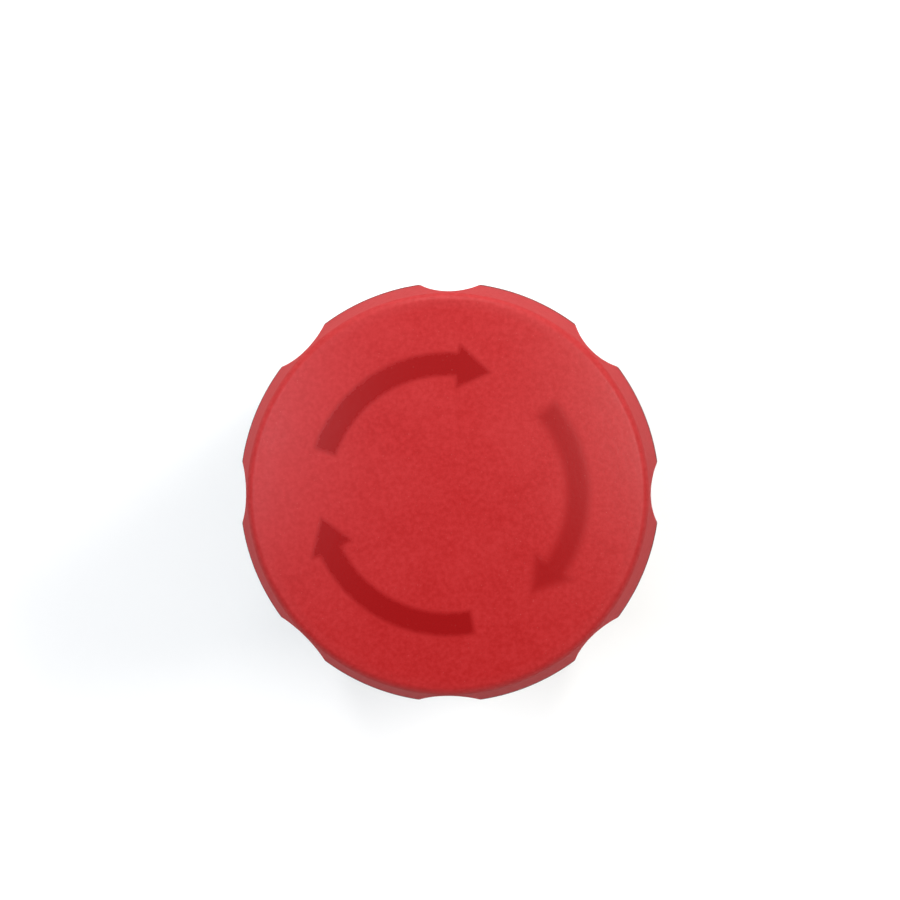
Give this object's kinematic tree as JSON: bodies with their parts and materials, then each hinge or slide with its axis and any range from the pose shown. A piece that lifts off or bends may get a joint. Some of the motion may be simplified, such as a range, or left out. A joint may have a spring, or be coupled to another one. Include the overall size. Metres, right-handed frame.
{
  "type": "emergency stop button",
  "caption": "Round red mushroom push button that turns to release, with a threaded panel neck, a lock nut and two screw-terminal contact blocks.",
  "frame": {"origin": "on the button's axis, in the plane of the panel's front face (the underside of the gasket)", "axes": "+Z along the axis, out of the panel towards the operator; +Y towards the neck's keyway, which is the top when fitted; +X towards the normally open contact block"},
  "size_m": [0.0396, 0.0396, 0.071],
  "materials": {
    "red_plastic": "frosted, fine-grained, self-coloured",
    "dark_red_plastic": "frosted, self-coloured",
    "black_nylon": "moulded, glass-filled",
    "grey_plastic": "moulded",
    "contact_case_plastic": "moulded",
    "red_stem_plastic": "moulded",
    "green_stem_plastic": "moulded",
    "rubber": "moulded",
    "zinc_plated_steel": "zinc plated",
    "spring_steel": "drawn wire and stamped strip",
    "brass": "stamped strip",
    "silver": "silver contact tips"
  },
  "bodies": {
    "housing": {"bezel_housing": "black_nylon", "stop_plate": "black_nylon", "lip_seal": "rubber", "seal_retainer": "black_nylon", "panel_gasket": "rubber", "return_spring": "spring_steel", "carrier_cap": "grey_plastic", "carrier_base": "grey_plastic", "carrier_screws": "zinc_plated_steel", "nc_case": "contact_case_plastic", "nc_lid": "contact_case_plastic", "nc_terminal_a": "brass", "nc_terminal_b": "brass", "nc_fixed_tips": "silver", "nc_contact_spring": "spring_steel", "no_case": "contact_case_plastic", "no_lid": "contact_case_plastic", "no_terminal_a": "brass", "no_terminal_b": "brass", "no_fixed_tips": "silver", "no_return_spring": "spring_steel"},
    "plunger": {"plunger": "black_nylon", "spindle_circlip": "spring_steel", "spring_seat": "spring_steel", "torsion_spring": "spring_steel", "actuator_foot": "black_nylon", "foot_screw": "zinc_plated_steel", "latch_springs": "spring_steel"},
    "head": {"head_cap": "red_plastic", "arrow_inlays": "dark_red_plastic", "head_insert": "black_nylon", "cam_spindle": "zinc_plated_steel", "head_clip": "spring_steel"},
    "latch_bolt_a": {"latch_bolt_a": "zinc_plated_steel"},
    "latch_bolt_b": {"latch_bolt_b": "zinc_plated_steel"},
    "nc_plunger": {"nc_plunger": "red_stem_plastic"},
    "nc_bridge": {"nc_bridge": "brass", "nc_bridge_tips": "silver"},
    "no_plunger": {"no_plunger": "green_stem_plastic", "no_contact_spring": "spring_steel"},
    "no_bridge": {"no_bridge": "brass", "no_bridge_tips": "silver"},
    "key_washer": {"key_washer": "zinc_plated_steel"},
    "lock_nut": {"lock_nut": "zinc_plated_steel"},
    "lock_ring": {"lock_ring": "black_nylon"},
    "nc_clamp_a": {"nc_clamp_a": "zinc_plated_steel"},
    "nc_screw_a": {"nc_screw_a": "zinc_plated_steel"},
    "nc_clamp_b": {"nc_clamp_b": "zinc_plated_steel"},
    "nc_screw_b": {"nc_screw_b": "zinc_plated_steel"},
    "no_clamp_a": {"no_clamp_a": "zinc_plated_steel"},
    "no_screw_a": {"no_screw_a": "zinc_plated_steel"},
    "no_clamp_b": {"no_clamp_b": "zinc_plated_steel"},
    "no_screw_b": {"no_screw_b": "zinc_plated_steel"}
  },
  "joints": [
    {"name": "head_push", "type": "slide", "parent": "housing", "child": "plunger", "axis": [0, 0, -1], "range_m": [0, 0.0055], "stiffness_N_per_m": 1500, "springref_m": -0.0067, "deforming": ["return_spring"]},
    {"name": "head_twist", "type": "hinge", "parent": "plunger", "child": "head", "pos_m": [0, 0, 0.02], "axis": [0, 0, 1], "range_deg": [-45, 0], "stiffness_Nm_per_rad": 0.15, "springref_deg": 17.19, "deforming": ["torsion_spring"]},
    {"name": "latch_bolt_a_slide", "type": "slide", "parent": "plunger", "child": "latch_bolt_a", "axis": [1, 0, 0], "range_m": [0, 0.0014], "deforming": ["latch_springs"]},
    {"name": "latch_bolt_b_slide", "type": "slide", "parent": "plunger", "child": "latch_bolt_b", "axis": [-1, 0, 0], "range_m": [0, 0.0014]},
    {"name": "nc_plunger_press", "type": "slide", "parent": "housing", "child": "nc_plunger", "axis": [0, 0, -1], "range_m": [0, 0.004]},
    {"name": "nc_bridge_drop", "type": "slide", "parent": "housing", "child": "nc_bridge", "axis": [0, 0, -1], "range_m": [0, 0.0036], "deforming": ["nc_contact_spring"]},
    {"name": "no_plunger_press", "type": "slide", "parent": "housing", "child": "no_plunger", "axis": [0, 0, -1], "range_m": [0, 0.004], "deforming": ["no_return_spring"]},
    {"name": "no_bridge_drop", "type": "slide", "parent": "housing", "child": "no_bridge", "axis": [0, 0, -1], "range_m": [0, 0.0024], "deforming": ["no_contact_spring"]},
    {"name": "washer_slide", "type": "slide", "parent": "housing", "child": "key_washer", "axis": [0, 0, 1], "range_m": [0, 0.0052]},
    {"name": "nut_turn", "type": "hinge", "parent": "key_washer", "child": "lock_nut", "pos_m": [0, 0, -0.0097], "axis": [0, 0, 1], "range_deg": [0, 1248]},
    {"name": "lock_turn", "type": "hinge", "parent": "housing", "child": "lock_ring", "pos_m": [0, 0, -0.0172], "axis": [0, 0, 1], "range_deg": [-40, 0]},
    {"name": "nc_clamp_a_lift", "type": "slide", "parent": "housing", "child": "nc_clamp_a", "axis": [0, 0, 1], "range_m": [0, 0.0024]},
    {"name": "nc_screw_a_turn", "type": "hinge", "parent": "nc_clamp_a", "child": "nc_screw_a", "pos_m": [-0.0066, -0.01, -0.0356], "axis": [0, 0, 1], "range_deg": [0, 1728]},
    {"name": "nc_clamp_b_lift", "type": "slide", "parent": "housing", "child": "nc_clamp_b", "axis": [0, 0, 1], "range_m": [0, 0.0024]},
    {"name": "nc_screw_b_turn", "type": "hinge", "parent": "nc_clamp_b", "child": "nc_screw_b", "pos_m": [-0.0066, 0.01, -0.0356], "axis": [0, 0, 1], "range_deg": [0, 1728]},
    {"name": "no_clamp_a_lift", "type": "slide", "parent": "housing", "child": "no_clamp_a", "axis": [0, 0, 1], "range_m": [0, 0.0024]},
    {"name": "no_screw_a_turn", "type": "hinge", "parent": "no_clamp_a", "child": "no_screw_a", "pos_m": [0.0066, -0.01, -0.0356], "axis": [0, 0, 1], "range_deg": [0, 1728]},
    {"name": "no_clamp_b_lift", "type": "slide", "parent": "housing", "child": "no_clamp_b", "axis": [0, 0, 1], "range_m": [0, 0.0024]},
    {"name": "no_screw_b_turn", "type": "hinge", "parent": "no_clamp_b", "child": "no_screw_b", "pos_m": [0.0066, 0.01, -0.0356], "axis": [0, 0, 1], "range_deg": [0, 1728]}
  ],
  "couplings": [
    {"joint": "latch_bolt_a_slide", "follows": "head_push", "ratio": 0.2545},
    {"joint": "latch_bolt_b_slide", "follows": "head_push", "ratio": 0.2545},
    {"joint": "nc_plunger_press", "follows": "head_push", "ratio": 0.7272},
    {"joint": "nc_bridge_drop", "follows": "head_push", "ratio": 0.6545},
    {"joint": "no_plunger_press", "follows": "head_push", "ratio": 0.7272},
    {"joint": "no_bridge_drop", "follows": "head_push", "ratio": 0.4363},
    {"joint": "washer_slide", "follows": "nut_turn", "m_per_rad": 0.0002387},
    {"joint": "nc_screw_a_turn", "follows": "nc_clamp_a_lift", "rad_per_m": 12566},
    {"joint": "nc_screw_b_turn", "follows": "nc_clamp_b_lift", "rad_per_m": 12566},
    {"joint": "no_screw_a_turn", "follows": "no_clamp_a_lift", "rad_per_m": 12566},
    {"joint": "no_screw_b_turn", "follows": "no_clamp_b_lift", "rad_per_m": 12566}
  ]
}
